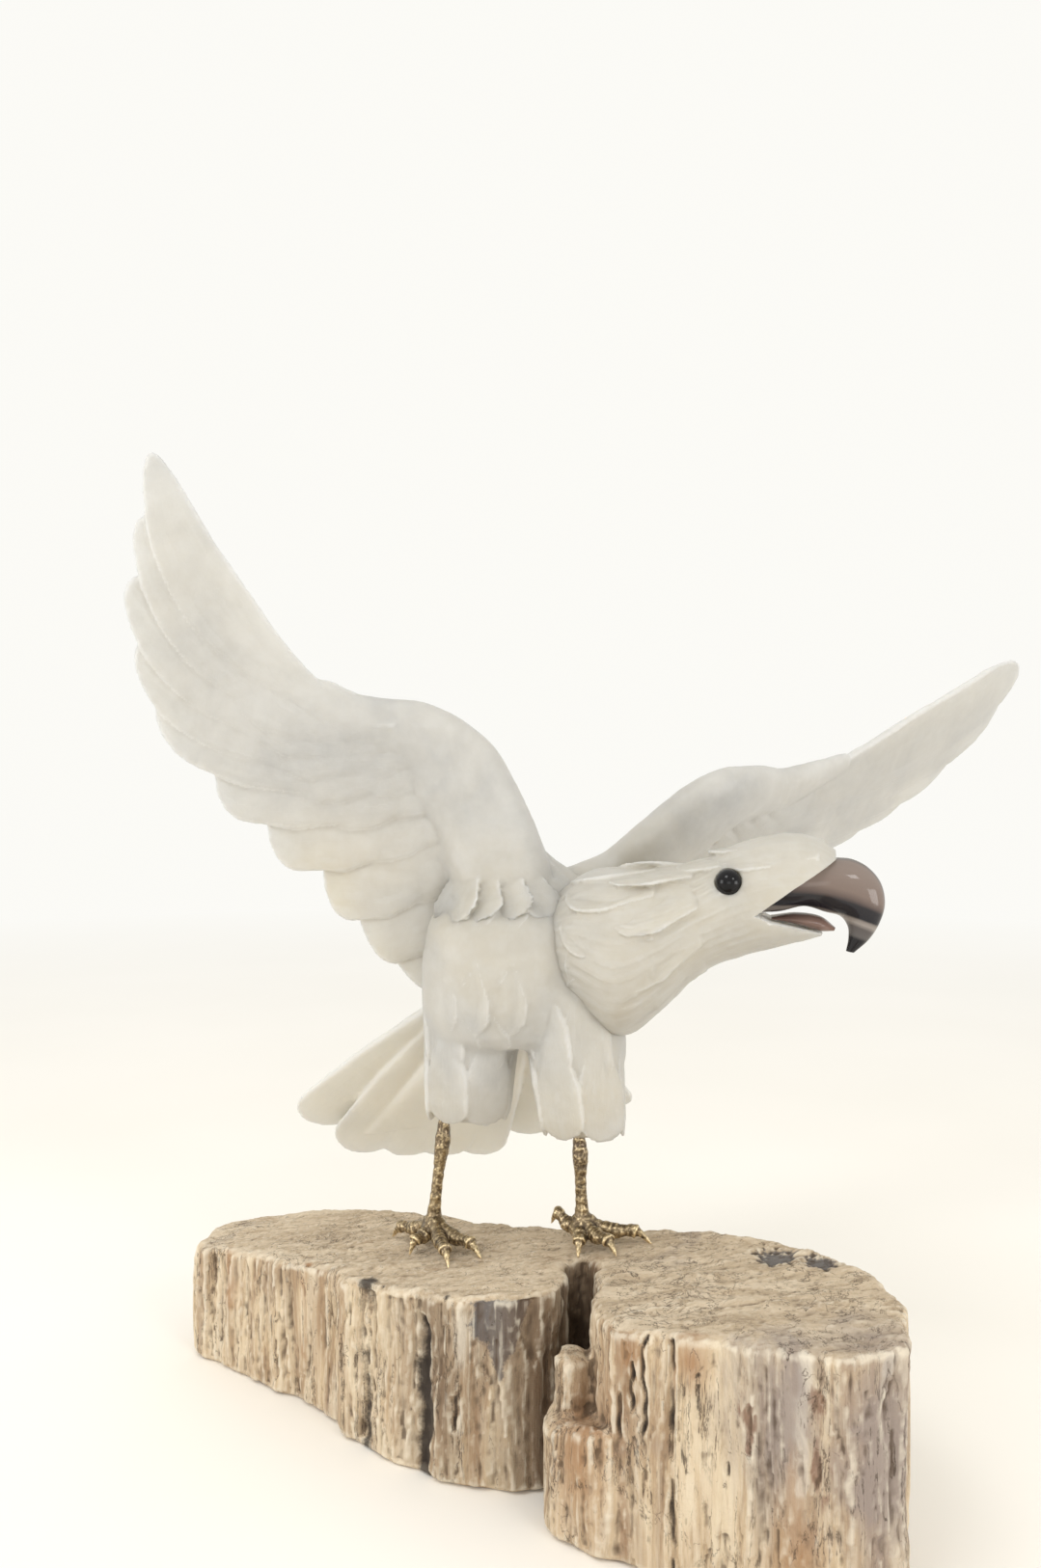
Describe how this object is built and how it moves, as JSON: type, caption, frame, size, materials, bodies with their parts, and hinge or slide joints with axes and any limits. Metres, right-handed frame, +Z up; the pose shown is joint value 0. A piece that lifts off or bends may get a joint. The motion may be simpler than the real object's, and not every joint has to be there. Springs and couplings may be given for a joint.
{
  "type": "falcon sculpture",
  "caption": "Carved milky quartz bird of prey with raised wings, agate beak and cast brass legs, standing on a petrified wood block.",
  "frame": {"origin": "on the flat underside of the wood block, near its middle", "axes": "+Z up; the falcon's breast faces -Y, turned towards +X, and its head points along +X"},
  "size_m": [0.471, 0.3152, 0.4343],
  "materials": {
    "quartz": "frosted, milky, slightly see-through rock crystal",
    "petrified_wood": "rough broken grain, matte",
    "agate": "polished, banded brown and black",
    "onyx": "polished black",
    "cast_brass": "antique, worn bright on the high spots"
  },
  "bodies": {
    "root": {"petrified_wood_block": "petrified_wood", "body_and_tail": "quartz", "head_and_neck": "quartz", "wing_right": "quartz", "wing_left": "quartz", "beak_upper": "agate", "beak_lower": "agate", "eye_right": "onyx", "eye_left": "onyx", "leg_right": "cast_brass", "leg_left": "cast_brass"}
  },
  "joints": []
}
